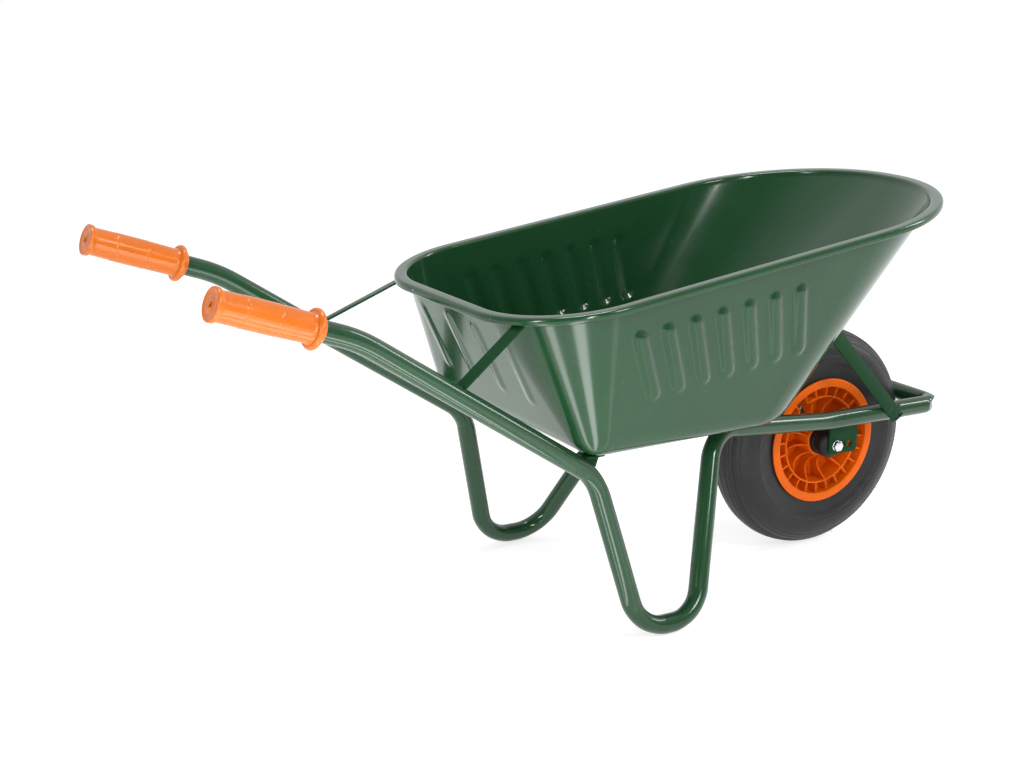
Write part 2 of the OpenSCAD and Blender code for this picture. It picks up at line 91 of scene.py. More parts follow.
def ramp(value, low, high):
    t = min(max((value - low) / (high - low), 0), 1)
    return t * t * (3 - 2 * t)


def softened(points, radius, steps=3):
    """The closed outline with each corner rounded off by radius."""
    made = []
    for i, p in enumerate(points):
        p = Vector(p)
        for_a, for_b = Vector(points[i - 1]), Vector(points[(i + 1) % len(points)])
        a = near(p, for_a, min(radius, (for_a - p).length * 0.45))
        b = near(p, for_b, min(radius, (for_b - p).length * 0.45))
        made += [bend_curve(a, p, b, k / steps) for k in range(steps + 1)]
    return made


def skin(rings, closed_rows=False):
    """Faces between rings that all have the same number of points."""
    n = len(rings[0])
    rows = len(rings) if closed_rows else len(rings) - 1
    return [
        (j * n + i, j * n + (i + 1) % n,
         (j + 1) % len(rings) * n + (i + 1) % n, (j + 1) % len(rings) * n + i)
        for j in range(rows) for i in range(n)
    ]


def settled(obj):
    """Merges doubles and turns every face outwards."""
    mesh = bmesh.new()
    mesh.from_mesh(obj.data)
    bmesh.ops.remove_doubles(mesh, verts=mesh.verts, dist=1e-6)
    bmesh.ops.recalc_face_normals(mesh, faces=mesh.faces)
    mesh.to_mesh(obj.data)
    mesh.free()
    return obj


def smooth(obj, angle=35):
    obj.data.shade_smooth()
    obj.data.set_sharp_from_angle(angle=radians(angle))
    return obj


def new_piece(name, points, faces=(), edges=()):
    mesh = bpy.data.meshes.new(name)
    mesh.from_pydata([tuple(p) for p in points], list(edges), list(faces))
    obj = bpy.data.objects.new(name, mesh)
    bpy.context.scene.collection.objects.link(obj)
    return obj


def hand_over(obj, body, finish=None, nodes=()):
    """Gives the piece its finish, its body and the nodes that it stands for."""
    if finish:
        obj.data.materials.clear()
        obj.data.materials.append(bpy.data.materials[finish])
    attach(obj, body)
    if nodes:
        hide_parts(*nodes)
    return obj


def turned(name, outline, origin, axis, side, segments=128, swell=None):
    """A closed (radius, along) outline in mm turned about an axis; swell(radius, along, angle) adds to the radius."""
    axis = Vector(axis).normalized()
    u = (Vector(side) - axis * Vector(side).dot(axis)).normalized()
    v = axis.cross(u)
    rings = []
    for k in range(segments):
        a = 2 * pi * k / segments
        out = u * cos(a) + v * sin(a)
        rings.append([
            origin + axis * (p[1] / 1000)
            + out * ((p[0] + (swell(p[0], p[1], a) if swell else 0)) / 1000)
            for p in outline
        ])
    return settled(new_piece(name, [p for r in rings for p in r], skin(rings, True)))


def joined(name, parts):
    """One piece from several, each already placed."""
    mesh = bmesh.new()
    for part in parts:
        mesh.from_mesh(part.data)
    first = parts[0]
    mesh.to_mesh(first.data)
    mesh.free()
    for part in parts[1:]:
        bpy.data.objects.remove(part)
    first.name = first.data.name = name
    return first


def eased(node, width, segments=2):
    """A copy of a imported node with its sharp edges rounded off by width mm."""
    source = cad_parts[node]
    obj = new_piece(node + "_eased", [])
    mesh = bmesh.new()
    mesh.from_mesh(source.data)
    bmesh.ops.remove_doubles(mesh, verts=mesh.verts, dist=2e-6)
    bmesh.ops.dissolve_limit(
        mesh, angle_limit=radians(1.5), verts=mesh.verts, edges=mesh.edges)
    sharp = [
        e for e in mesh.edges
        if len(e.link_faces) == 2 and e.calc_face_angle(0) > radians(28)
    ]
    bmesh.ops.bevel(
        mesh, geom=sharp, offset=width / 1000, segments=segments, profile=0.5,
        affect="EDGES", clamp_overlap=True)
    mesh.to_mesh(obj.data)
    mesh.free()
    return smooth(obj, 40)


# ---- node trees ----

class Web:
    """Adds nodes to a tree, each from its inputs, and gives back the socket it is read from."""

    def __init__(self, tree):
        self.tree = tree
        self.made = 0

    def add(self, kind, values=None, read=0, **settings):
        node = self.tree.nodes.new(kind)
        node.location = (self.made % 8 * 190, -(self.made // 8) * 260)
        self.made += 1
        for key, value in settings.items():
            setattr(node, key, value)
        for key, value in (values or {}).items():
            if isinstance(value, bpy.types.NodeSocket):
                self.tree.links.new(value, node.inputs[key])
            else:
                node.inputs[key].default_value = value
        return node.outputs[read] if len(node.outputs) else node

    def math(self, operation, a, b=0.5):
        return self.add("ShaderNodeMath", {0: a, 1: b}, operation=operation)

    def sum(self, a, b):
        return self.math("ADD", a, b)

    def times(self, a, b):
        return self.math("MULTIPLY", a, b)

    def span(self, value, low, high, to_low=0.0, to_high=1.0):
        return self.add("ShaderNodeMapRange", {
            "Value": value, "From Min": low, "From Max": high, "To Min": to_low, "To Max": to_high})

    def noise(self, place, scale, detail, **settings):
        return self.add("ShaderNodeTexNoise", {"Vector": place, "Scale": scale, "Detail": detail, **settings})


def geometry_tree(name, inputs, build):
    """A geometry tree with named inputs; build(web, sockets) gives the geometry, which is realized and finished."""
    tree = bpy.data.node_groups.new(name, "GeometryNodeTree")
    for socket, kind in [("Geometry", "NodeSocketGeometry"), *inputs, ("Finish", "NodeSocketMaterial")]:
        tree.interface.new_socket(socket, in_out="INPUT", socket_type=kind)
    tree.interface.new_socket("Geometry", in_out="OUTPUT", socket_type="NodeSocketGeometry")
    web = Web(tree)
    entry = tree.nodes.new("NodeGroupInput")
    made = build(web, entry.outputs)
    made = web.add("GeometryNodeRealizeInstances", {"Geometry": made})
    made = web.add("GeometryNodeSetMaterial", {"Geometry": made, "Material": entry.outputs["Finish"]})
    leave = tree.nodes.new("NodeGroupOutput")
    tree.links.new(made, leave.inputs[0])
    return tree


def grown(obj, tree, finish, **values):
    """Runs the geometry tree on the piece and keeps the result as its plain mesh."""
    values["Finish"] = bpy.data.materials[finish]
    modifier = obj.modifiers.new(tree.name, "NODES")
    modifier.node_group = tree
    for item in tree.interface.items_tree:
        if item.in_out == "INPUT" and item.name.replace(" ", "_") in values:
            modifier[item.identifier] = values[item.name.replace(" ", "_")]
    view = bpy.context.evaluated_depsgraph_get()
    mesh = bpy.data.meshes.new_from_object(obj.evaluated_get(view))
    obj.modifiers.clear()
    old = obj.data
    obj.data = mesh
    bpy.data.meshes.remove(old)
    mesh.name = obj.name
    if not mesh.polygons:
        raise RuntimeError(f"{obj.name} came out empty")
    return obj


def tube_tree():
    """Sweeps a round section along the bent path and flattens it where the path's flatness says."""
    def build(web, given):
        path = web.add("GeometryNodeMeshToCurve", {"Mesh": given["Geometry"]})
        ring = web.add("GeometryNodeCurvePrimitiveCircle", {
            "Resolution": given["Sides"], "Radius": given["Tube Radius"]})
        tube = web.add("GeometryNodeCurveToMesh", {
            "Curve": path, "Profile Curve": ring, "Fill Caps": True})
        inward = web.add("GeometryNodeInputNamedAttribute", {"Name": "inward"}, data_type="FLOAT_VECTOR")
        middle = web.add("GeometryNodeInputNamedAttribute", {"Name": "middle"}, data_type="FLOAT_VECTOR")
        flat = web.add("GeometryNodeInputNamedAttribute", {"Name": "flatness"}, data_type="FLOAT")
        place = web.add("GeometryNodeInputPosition")
        out = web.add("ShaderNodeVectorMath", {0: place, 1: middle}, operation="SUBTRACT")
        reach = web.add("ShaderNodeVectorMath", {0: out, 1: inward}, read="Value", operation="DOT_PRODUCT")
        shift = web.times(web.times(reach, flat), -1.0)
        move = web.add("ShaderNodeVectorMath", {0: inward, "Scale": shift}, operation="SCALE")
        moved = web.add("GeometryNodeSetPosition", {"Geometry": tube, "Offset": move})
        return web.add("GeometryNodeSetShadeSmooth", {"Geometry": moved, "Shade Smooth": True})
    return geometry_tree("Bent Tube", [
        ("Tube Radius", "NodeSocketFloat"), ("Sides", "NodeSocketInt")], build)


def wheel_ring_tree():
    """Repeats the piece, made round the origin, round the wheel's axle."""
    def build(web, given):
        spots = web.add("GeometryNodeMeshLine", {
            "Count": given["Count"], "Start Location": given["Axle"], "Offset": (0.0, 0.0, 0.0)})
        index = web.add("GeometryNodeInputIndex")
        pitch = web.math("DIVIDE", 2 * pi, given["Count"])
        stray = web.add("FunctionNodeRandomValue", {
            "Min": web.times(given["Stray"], -1.0), "Max": given["Stray"],
            "ID": index, "Seed": given["Seed"]}, read=1, data_type="FLOAT")
        angle = web.sum(web.sum(web.times(index, pitch), given["Start Angle"]), stray)
        turn = web.add("ShaderNodeCombineXYZ", {"Y": web.times(angle, -1.0)})
        held = web.add("GeometryNodeGeometryToInstance", {0: given["Geometry"]})
        size = web.add("FunctionNodeRandomValue", {
            "Min": web.math("SUBTRACT", 1.0, given["Size Spread"]),
            "Max": 1.0, "ID": index, "Seed": given["Seed"]}, read=1, data_type="FLOAT")
        return web.add("GeometryNodeInstanceOnPoints", {
            "Points": spots, "Instance": held, "Rotation": turn, "Scale": size})
    return geometry_tree("Wheel Ring", [
        ("Count", "NodeSocketInt"), ("Start Angle", "NodeSocketFloat"), ("Axle", "NodeSocketVector"),
        ("Stray", "NodeSocketFloat"), ("Size Spread", "NodeSocketFloat"), ("Seed", "NodeSocketInt")], build)


def weld_tree():
    """Lays overlapping ripples of weld along each seam."""
    def build(web, given):
        seam = web.add("GeometryNodeMeshToCurve", {"Mesh": given["Geometry"]})
        steps = web.add("GeometryNodeCurveToPoints", {
            "Curve": seam, "Length": given["Ripple Pitch"]}, mode="LENGTH")
        heading = steps.node.outputs["Rotation"]
        blob = web.add("GeometryNodeMeshIcoSphere", {"Radius": given["Bead Radius"], "Subdivisions": 2})
        size = web.add("FunctionNodeRandomValue", {
            "Min": (0.85, 0.8, 0.5), "Max": (1.1, 1.1, 0.62), "Seed": given["Seed"]},
            read=0, data_type="FLOAT_VECTOR")
        row = web.add("GeometryNodeInstanceOnPoints", {
            "Points": steps, "Instance": blob, "Rotation": heading, "Scale": size})
        whole = web.add("GeometryNodeRealizeInstances", {"Geometry": row})
        return web.add("GeometryNodeSetShadeSmooth", {"Geometry": whole, "Shade Smooth": True})
    return geometry_tree("Weld Bead", [
        ("Ripple Pitch", "NodeSocketFloat"), ("Bead Radius", "NodeSocketFloat"), ("Seed", "NodeSocketInt")], build)


# ---- finishes ----

FLOOR_GLOW = 0.7
FAN_FROM = (-0.119, -0.233, 0.0)
# heading and half width in degrees, and strength, of each glowing floor panel: painted glow that the enamel shows as
# painted reflections
FAN_PANELS = ((-152, 7, 6.0), (-112, 10, 7.0), (-62, 5, 1.0))


def coated(name, light, dark, mottle=12.0, rough=(0.2, 0.3), grain=400.0, depth=0.02, grain_size=0.0002,
           wave=0.0, wave_scale=60.0, specks=0.0, speck_colour=(0.5, 0.5, 0.48), **shell):
    """A procedural finish: mottled colour, uneven gloss, fine grain, long waves and a few specks of dust."""
    material = bpy.data.materials.new(name)
    material.use_nodes = True
    tree = material.node_tree
    tree.nodes.clear()
    web = Web(tree)
    place = web.add("ShaderNodeTexCoord", read="Object")
    patch = web.noise(place, mottle, 4.0, Roughness=0.6)
    tone = web.span(patch, 0.35, 0.65)
    colour = web.add("ShaderNodeMix", {0: tone, 6: (*dark, 1), 7: (*light, 1)}, read=2, data_type="RGBA")
    fine = web.noise(place, grain, 3.0, Roughness=0.55)
    if specks:
        amount = web.span(web.noise(place, 220.0, 2.0), 0.66, 0.74, to_high=specks)
        colour = web.add("ShaderNodeMix", {0: amount, 6: colour, 7: (*speck_colour, 1)}, read=2, data_type="RGBA")
    gloss = web.span(web.noise(place, mottle * 2.3, 5.0), 0.3, 0.7, *rough)
    normal = web.add("ShaderNodeBump", {"Height": fine, "Strength": min(depth * 10, 1), "Distance": grain_size})
    if wave:
        swell = web.noise(place, wave_scale, 1.0)
        normal = web.add("ShaderNodeBump", {
            "Height": swell, "Strength": 1.0, "Distance": wave, "Normal": normal})
    values = {"Base Color": colour, "Roughness": gloss, "Normal": normal}
    values.update({key.replace("_", " "): value for key, value in shell.items()})
    shader = web.add("ShaderNodeBsdfPrincipled", values)
    tree.links.new(shader, tree.nodes.new("ShaderNodeOutputMaterial").inputs["Surface"])
    return material


def darker(colour, amount):
    return tuple(part * (1 - amount) for part in colour)


def mix_finishes():
    look = bpy.context.scene.barrow_finishes
    green, grip, rim = look.enamel, look.grip, look.rim
    coated("Green Enamel", green, darker(green, 0.14), mottle=5.0, rough=(0.13, 0.2), grain=900.0,
           depth=0.02, grain_size=0.00006, wave=look.enamel_wave / 1000, wave_scale=32.0, specks=0.06,
           speck_colour=(0.25, 0.32, 0.26), Specular_IOR_Level=0.4, Coat_Weight=0.2, Coat_Roughness=0.04)
    # a darker, less shiny copy of the green enamel: painted shade for the braces, axle plates and saddles, which wear
    # the same enamel as the frame
    coated("Bracket Enamel", darker(green, 0.1), darker(green, 0.25), mottle=9.0, rough=(0.16, 0.24), grain=900.0,
           depth=0.02, grain_size=0.00006, Specular_IOR_Level=0.05)
    coated("Weld Enamel", darker(green, 0.1), darker(green, 0.35), mottle=60.0, rough=(0.2, 0.34), grain=700.0,
           depth=0.06, grain_size=0.0002, Coat_Weight=0.3, Coat_Roughness=0.12)
    coated("Grip Plastic", grip, darker(grip, 0.08), mottle=14.0, rough=(0.2, 0.3), grain=600.0, depth=0.02,
           grain_size=0.0001, wave=0.00012, wave_scale=55.0, Specular_IOR_Level=0.4)
    coated("Rim Plastic", rim, darker(rim, 0.16), mottle=20.0, rough=(0.34, 0.46), grain=900.0, depth=0.04,
           grain_size=0.00016, specks=0.05, speck_colour=(0.9, 0.5, 0.3), Specular_IOR_Level=0.14)
    coated("Tyre Rubber", look.tyre, darker(look.tyre, 0.25), mottle=26.0, rough=(0.34, 0.46), grain=1100.0,
           depth=0.07, grain_size=0.00025, specks=0.16, speck_colour=(0.07, 0.066, 0.062), Specular_IOR_Level=0.36)
    coated("Black Plastic", (0.014, 0.014, 0.015), (0.008, 0.008, 0.009), mottle=40.0, rough=(0.3, 0.42),
           grain=900.0, depth=0.04, Specular_IOR_Level=0.2)
    coated("Valve Rubber", (0.03, 0.03, 0.03), (0.018, 0.018, 0.018), mottle=60.0, rough=(0.5, 0.62),
           grain=1200.0, depth=0.06)
    coated("Bright Zinc", (0.78, 0.79, 0.82), (0.6, 0.61, 0.64), mottle=160.0, rough=(0.16, 0.3),
           grain=1500.0, depth=0.05, Metallic=1.0)
    coated("Valve Brass", (0.83, 0.6, 0.25), (0.68, 0.46, 0.17), mottle=200.0, rough=(0.2, 0.34),
           grain=1500.0, depth=0.05, Metallic=1.0)
    light_floor(coated(
        "Studio Floor", (0.5, 0.5, 0.5), (0.48, 0.48, 0.48), mottle=1.5, rough=(0.8, 0.9), grain=90.0,
        depth=0.01, Emission_Color=(1, 1, 1, 1), Emission_Strength=FLOOR_GLOW, Specular_IOR_Level=0.1))


def light_floor(floor):
    """Paints glowing panels into the floor's emission, fanned out from below the tray's near rear corner, so that the
    enamel shows them as painted reflections.
    """
    web = Web(floor.node_tree)
    place = web.add("ShaderNodeTexCoord", read="Object")
    arm = web.add("ShaderNodeVectorMath", {0: place, 1: FAN_FROM}, operation="SUBTRACT")
    parts = web.add("ShaderNodeSeparateXYZ", {0: arm}).node.outputs
    turn = web.math("ARCTAN2", parts["Y"], parts["X"])
    reach = web.add("ShaderNodeVectorMath", {0: arm}, read="Value", operation="LENGTH")
    fade = web.span(reach, 1.6, 2.2, 1.0, 0.0)
    glow = FLOOR_GLOW
    for heading, half, strength in FAN_PANELS:
        off = web.math("ABSOLUTE", web.math("SUBTRACT", turn, radians(heading)))
        panel = web.span(off, radians(half * 0.6), radians(half), strength, 0.0)
        glow = web.sum(web.times(panel, fade), glow)
    shader = next(n for n in floor.node_tree.nodes if n.type == "BSDF_PRINCIPLED")
    floor.node_tree.links.new(glow, shader.inputs["Emission Strength"])


# ---- sizes and colours that a user would change ----

def tint(name, note, default):
    return FloatVectorProperty(name=name, description=note, subtype="COLOR", size=3, min=0, max=1, default=default)


def measure(name, note, low, high, default):
    return FloatProperty(name=name, description=note, min=low, max=high, default=default)


def share(name, note, high, default):
    return FloatProperty(name=name, description=note, subtype="FACTOR", min=0, max=high, default=default)


def count_of(name, note, low, high, default):
    return IntProperty(name=name, description=note, min=low, max=high, default=default)


class FinishColours(bpy.types.PropertyGroup):
    enamel: tint("Enamel", "Colour of the tube, tray and brackets", (0.0095, 0.05, 0.0175))
    enamel_wave: measure("Enamel wave", "Height of the long waves in the enamel, mm", 0, 1, 0.04)
    grip: tint("Grips", "Colour of the hand grips", (0.54, 0.122, 0.006))
    rim: tint("Rim", "Colour of the moulded rim", (0.72, 0.115, 0.001))
    tyre: tint("Tyre", "Colour of the tyre", (0.013, 0.0135, 0.014))


class TubeSizes(bpy.types.PropertyGroup):
    tube_d: measure("Tube diameter", "Outside diameter of the frame tube, mm", 20, 45, 32)
    sides: count_of("Sides", "Facets round the tube", 12, 96, 48)
    bend_flat: share("Bend flatness", "How much a bend flattens the tube", 0.3, 0.07)
    nose_flat: share("Nose flatness", "How much the tight nose bends flatten it", 0.4, 0.2)
    weld_r: measure("Weld bead", "Half width of the weld beads, mm", 1, 5, 2.6)


class TraySizes(bpy.types.PropertyGroup):
    sheet: measure("Sheet", "Thickness of the pressed sheet, mm", 0.6, 3, 1.2)
    flange: measure("Flange", "Width of the rim flange, mm", 10, 30, 22)
    lip: measure("Lip", "Depth of the turned-down lip, mm", 6, 20, 11)
    floor_round: measure("Floor rounding", "Run of the rounding from floor to wall, mm", 15, 60, 35)
    bead_count: count_of("Side beads", "Upright beads pressed in each side", 0, 12, 7)
    bead_height: measure("Bead height", "How far the side beads stand out, mm", 0, 8, 4.5)
    rear_beads: count_of("Rear beads", "Upright beads pressed in the rear wall", 0, 9, 4)
    rear_height: measure("Rear bead height", "How far the rear beads stand out, mm", 0, 6, 1.8)


class WheelSizes(bpy.types.PropertyGroup):
    tyre_d: measure("Tyre diameter", "Outside diameter of the tyre, mm", 300, 480, 400)
    tyre_w: measure("Tyre width", "Width of the tyre, mm", 60, 120, 93)
    groove: measure("Groove depth", "Depth of the grooves round the tread, mm", 0, 4, 1.7)
    ribs: count_of("Rim ribs", "Long ribs on each face of the rim", 6, 18, 12)
    rib_phase: FloatProperty(name="First rib", description="Angle of the first rib above the forward direction",
                             subtype="ANGLE", min=0, max=1, default=radians(12))
    whiskers: count_of("Whiskers", "Moulding whiskers left on each shoulder of the tyre", 0, 60, 17)


class StageSizes(bpy.types.PropertyGroup):
    camera_at: FloatVectorProperty(name="Camera place", description="Where the camera stands",
                                   subtype="TRANSLATION", unit="LENGTH", size=3, default=(-1.5339, -2.2940, 1.1024))
    heading: FloatProperty(name="Heading", description="Direction the camera looks, from forward to the left",
                           subtype="ANGLE", default=radians(59.565))
    dip: FloatProperty(name="Dip", description="How far the camera looks down", subtype="ANGLE",
                       default=radians(15.919))
    tilt: FloatProperty(name="Tilt", description="Roll of the camera", subtype="ANGLE", default=radians(0.774))
    light: measure("Light", "Strength of the studio lamps", 0, 10, 1.0)


# ---- stage ----

SENSOR, LENS, LENS_SHIFT = 36, 60.87, (0.0338, 0.0220)
# name, place, width and height in metres, and power in watts
LAMPS = (
    ("key_softbox", (1.1, -3.4, 2.9), (0.9, 1.0), 60),
    ("rear_softbox", (-3.6, -1.5, 1.7), (0.45, 1.9), 60),
    ("corner_strip", (-1.0, -3.9, 1.5), (0.35, 2.2), 60),
    ("nose_softbox", (3.4, -1.2, 2.2), (0.4, 2.2), 40),
    ("top_softbox", (0.2, 0.4, 3.6), (1.2, 0.8), 50),
)


class BARROW_OT_stage(bpy.types.Operator):
    """Set up the pale floor, the soft lamps and the camera"""
    bl_idname = "barrow.stage"
    bl_label = "Stage"

    def execute(self, context):
        stage = context.scene.barrow_stage
        floor = new_piece("studio_floor", [(9 * x, 9 * y, -0.0006) for x, y in ((-1, -1), (1, -1), (1, 1), (-1, 1))],
                          [(0, 1, 2, 3)])
        floor.data.materials.append(bpy.data.materials["Studio Floor"])
        world = bpy.data.worlds.new("Studio")
        world.use_nodes = True
        air = Web(world.node_tree)
        toward = air.add("ShaderNodeTexCoord", read="Generated")
        facing = air.add("ShaderNodeVectorMath", {0: toward, 1: (-0.55, -0.83, 0.05)}, read="Value",
                         operation="DOT_PRODUCT")
        shade = air.span(facing, -0.35, 0.6, 0.95, 0.12)
        shade = air.math("MAXIMUM", shade, air.add("ShaderNodeLightPath", read="Is Camera Ray"))
        world.node_tree.links.new(shade, world.node_tree.nodes["Background"].inputs["Strength"])
        world.node_tree.nodes["Background"].inputs["Color"].default_value = (1, 1, 1, 1)
        context.scene.world = world
        context.scene.view_settings.view_transform = "Standard"
        middle = Vector((0, 0, 0.35))
        for name, place, size, power in LAMPS:
            lamp = bpy.data.lights.new(name, "AREA")
            lamp.shape = "RECTANGLE"
            lamp.size, lamp.size_y = size
            lamp.energy = power * stage.light
            obj = bpy.data.objects.new(name, lamp)
            obj.location = place
            obj.rotation_euler = (middle - Vector(place)).to_track_quat("-Z", "Y").to_euler()
            context.scene.collection.objects.link(obj)
        h, d, t = stage.heading, -stage.dip, stage.tilt
        ahead = Vector((cos(d) * cos(h), cos(d) * sin(h), sin(d)))
        right = Vector((sin(h), -cos(h), 0))
        up = right.cross(ahead)
        right, up = right * cos(t) + up * sin(t), up * cos(t) - right * sin(t)
        camera = bpy.data.objects.new("camera", bpy.data.cameras.new("camera"))
        camera.matrix_world = Matrix((right, up, -ahead)).transposed().to_4x4()
        camera.location = stage.camera_at
        camera.data.sensor_width, camera.data.lens = SENSOR, LENS
        camera.data.shift_x, camera.data.shift_y = LENS_SHIFT
        context.scene.collection.objects.link(camera)
        context.scene.camera = camera
        return {"FINISHED"}


# ---- frame tube ----

# corners of one side in mm from the axle and the floor, each with its bend radius, to the middle of the nose
TUBE_ROUTE = (
    (GRIP_END, 0), (GRIP_ELBOW, 250), ((-602.5, 203, 272), 90),
    ((-533.5, 240, 16), 68), ((-422, 240, 16), 70), ((-312.5, 122.5, 285), 70),
    ((-35, RAIL_HALF, RAIL_UP), 300), ((NOSE_X, RAIL_HALF, RAIL_UP), 26), ((NOSE_X, 0, RAIL_UP), 0),
)


TIGHT_BEND, WIDE_BEND = 0.05, 0.2      # radii in metres
WRINKLE = 0.05                         # extra flatness, as waves, in a tight bend


def tube_marks(route, sizes):
    """(place, inward, flatness) along one side, finely stepped round each bend."""
    corners = [spot(*p) for p, _ in route]
    start = near(corners[0], corners[1], 0.006)
    marks = [(start, Vector((0, 0, 1)), 0.0)]
    for i in range(1, len(route) - 1):
        radius = route[i][1] / 1000
        back, on = (corners[i - 1] - corners[i]).normalized(), (corners[i + 1] - corners[i]).normalized()
        corner = back.angle(on)
        setback = radius / tan(corner / 2)
        first = corners[i] + back * setback
        inward = (back + on).normalized()
        middle = corners[i] + inward * (radius / sin(corner / 2))
        turn = pi - corner
        steps = max(ceil(turn / radians(3)), 4)
        most = sizes.nose_flat if radius < TIGHT_BEND else sizes.bend_flat if radius < WIDE_BEND else 0.0
        x = first - middle
        y = -back * radius
        for k in range(steps + 1):
            a = turn * k / steps
            place = middle + x * cos(a) + y * sin(a)
            toward = (middle - place).normalized()
            flat = most * ramp(min(k, steps - k) / steps, 0, 0.3)
            if radius < TIGHT_BEND:
                flat += WRINKLE * sin(k / steps * 6 * pi) * ramp(min(k, steps - k) / steps, 0, 0.2)
            marks.append((place, toward, flat))
    marks.append((corners[-1], Vector((-1, 0, 0)), 0.0))
    return marks


class BARROW_OT_frame_tube(bpy.types.Operator):
    """Bend the frame tube from grip to grip, flattened where it is bent"""
    bl_idname = "barrow.frame_tube"
    bl_label = "Frame tube"

    def execute(self, context):
        sizes = context.scene.barrow_tube
        half = tube_marks(TUBE_ROUTE, sizes)
        other = [(Vector((p.x, -p.y, p.z)), Vector((w.x, -w.y, w.z)), f) for p, w, f in half[-2::-1]]
        marks = half + other
        path = new_piece("bent_tube", [m[0] for m in marks], edges=[(i, i + 1) for i in range(len(marks) - 1)])
        for name, kind, column in (("middle", "FLOAT_VECTOR", 0), ("inward", "FLOAT_VECTOR", 1),
                                   ("flatness", "FLOAT", 2)):
            layer = path.data.attributes.new(name, kind, "POINT")
            for i, mark in enumerate(marks):
                if kind == "FLOAT":
                    layer.data[i].value = mark[column]
                else:
                    layer.data[i].vector = mark[column]
        grown(path, tube_tree(), "Green Enamel", Tube_Radius=sizes.tube_d / 2000, Sides=sizes.sides)
        self.crush(path.data, [
            m for m in marks if abs(abs(m[0].y) - RAIL_HALF / 1000) < 0.03 and m[0].x > AXLE.x + 0.18])
        settled(path)
        smooth(path, 50)
        hand_over(path, "frame", nodes=["frame_tube"])
        return {"FINISHED"}

    @staticmethod
    def crush(mesh, marks):
        """Dents the outer wall of the tight nose bends, with a ridge above the dent."""
        reach, tip, spread = 0.045, 0.0108, 0.014
        for v in mesh.vertices:
            side = LEFT if v.co.y > 0 else RIGHT
            corner = on_side((NOSE_X, RAIL_HALF, RAIL_UP), side)
            if (v.co - corner).length > reach:
                continue
            place = min(marks, key=lambda m: (m[0] - v.co).length)[0]
            diagonal = Vector((-1, -side, 0)).normalized()
            if (v.co - place).dot(diagonal) < 0:
                height = v.co.z - place.z
                dent = 0.0045 * bump(height, 0.011) - 0.004 * bump(height - 0.0125, 0.006)
                v.co += diagonal * dent * bump((place - corner).length - tip, spread)


# ---- grips ----

class BARROW_OT_grips(bpy.types.Operator):
    """Mould the two hand grips with their guard rings"""
    bl_idname = "barrow.grips"
    bl_label = "Hand grips"

    def execute(self, context):
        outline = [(4, 1.2), (4.6, 0.3), (5.6, 0), (8, 0), (8.6, 0.5), (20.4, 0.5), (21, 0), (23, 0), (24, 0.5),
                   (24.5, 1.8), (24.5, 6.2), (24, 7.5), (22.8, 8.4), (21.9, 9.4), (21.6, 11.5)]
        body = [(a, 21.6 + 0.5 * ramp(a, 12, 60) - 0.5 * ramp(a, 100, 142)
                 + 0.55 * (bump(a - 46, 2.2) + bump(a - 96, 2.2)) + 0.3 * (ramp(a, 46, 50) - ramp(a, 92, 96)))
                for a in range(13, 146)]
        outline += [(r, a) for a, r in body]
        outline += [(24.2 + 4.9 * cos(radians(t)) + 0.2, 154 + 5.4 * sin(radians(t))) for t in range(-100, 101, 10)]
        outline += [(21.6, 161), (21.4, 163), (20.6, 164), (16.2, 164), (16.1, 6), (4, 6)]

        def seam(radius, along, angle):
            if radius < 17 or along < 9:
                return 0
            return 0.3 * bump((angle + pi / 2) % pi - pi / 2, 0.05)

        for word, side in SIDES:
            end, elbow = on_side(GRIP_END, side), on_side(GRIP_ELBOW, side)
            grip = turned(f"grip_moulding_{word}", outline, end, elbow - end, (0, 1, 0), 144, seam)
            smooth(grip, 40)
            hand_over(grip, "frame", "Grip Plastic", [f"grip_{word}"])
        return {"FINISHED"}


# ---- tray ----

RIM_REAR, RIM_FRONT, RIM_HALF, RIM_REAR_R, RIM_FRONT_R = -766, 169, 277.5, 170, 270
FLOOR_REAR, FLOOR_FRONT, FLOOR_REAR_HALF, FLOOR_FRONT_HALF = -636, -205, 242, 221
FLOOR_REAR_R, FLOOR_FRONT_R = 32, 102
REAR_STEPS, CORNER_STEPS, SIDE_STEPS, NOSE_STEPS, NOSE_FLAT_STEPS = 34, 50, 100, 52, 8


def rim_level(x):
    return 609.5 + 0.143 * (x + 205)


def floor_level(x):
    return 303.5 - 0.012 * (x + 205)


def half_outline(x0, x1, h0, h1, rear_r, front_r):
    made = [(x0, (h0 - rear_r) * k / REAR_STEPS) for k in range(REAR_STEPS)]
    turns = [pi / 2 * k / CORNER_STEPS for k in range(CORNER_STEPS + 1)]
    made += [(x0 + rear_r - rear_r * cos(a), h0 - rear_r + rear_r * sin(a)) for a in turns]
    a, b = x0 + rear_r, x1 - front_r
    made += [(a + (b - a) * k / SIDE_STEPS, h0 + (h1 - h0) * k / SIDE_STEPS) for k in range(1, SIDE_STEPS)]
    turns = [pi / 2 * k / NOSE_STEPS for k in range(NOSE_STEPS + 1)]
    made += [(b + front_r * sin(a), h1 - front_r + front_r * cos(a)) for a in turns]
    made += [(x1, (h1 - front_r) * (1 - k / NOSE_FLAT_STEPS)) for k in range(1, NOSE_FLAT_STEPS + 1)]
    return made


def whole_outline(half):
    return half + [(x, -y) for x, y in half[-2:0:-1]]


def rim_ring(inset, drop):
    ring = whole_outline(half_outline(
        RIM_REAR + inset, RIM_FRONT - inset, RIM_HALF - inset, RIM_HALF - inset,
        RIM_REAR_R - inset, RIM_FRONT_R - inset))
    return [Vector((x, y, rim_level(x) - drop)) for x, y in ring]


def floor_ring(inset):
    ring = whole_outline(half_outline(
        FLOOR_REAR + inset, FLOOR_FRONT - inset, FLOOR_REAR_HALF - inset, FLOOR_FRONT_HALF - inset,
        max(FLOOR_REAR_R - inset, 4), max(FLOOR_FRONT_R - inset, 4)))
    return [Vector((x, y, floor_level(x))) for x, y in ring]


